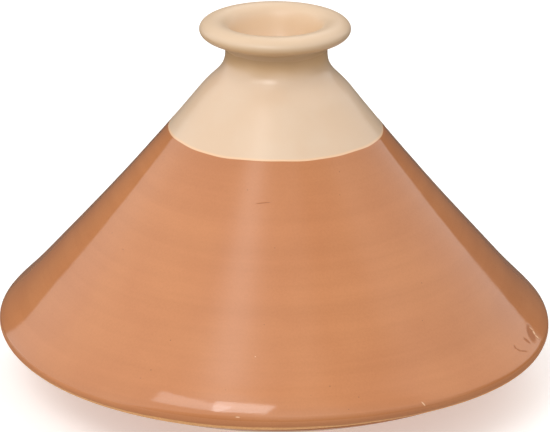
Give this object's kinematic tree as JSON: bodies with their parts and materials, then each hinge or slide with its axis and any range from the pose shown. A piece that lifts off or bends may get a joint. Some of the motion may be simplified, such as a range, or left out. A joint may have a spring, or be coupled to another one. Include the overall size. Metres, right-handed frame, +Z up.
{
  "type": "tagine pot",
  "caption": "Conical glazed stoneware tagine: a wide cone lid with a hollow cup knob and rolled lip lifts off a shallow footed dish for slow cooking and serving.",
  "frame": {"origin": "centre of the dish's foot ring, on the surface the pot stands on", "axes": "+Z up along the axis both pieces are turned about, from the foot to the knob; X and Y lie on the surface and are equivalent"},
  "size_m": [0.3, 0.3, 0.2031],
  "materials": {
    "dish_glaze": "clear glaze over cream clay inside, bare clay on the foot",
    "lid_glaze": "glossy amber-brown glaze below, satin cream on the shoulder and knob, bare clay on the lower edge"
  },
  "bodies": {
    "dish": {"base_dish": "dish_glaze"},
    "lid": {"lid": "lid_glaze"}
  },
  "joints": [
    {"name": "lid_lift", "type": "slide", "parent": "dish", "child": "lid", "axis": [0, 0, 1], "range_m": [0, 0.25]}
  ]
}
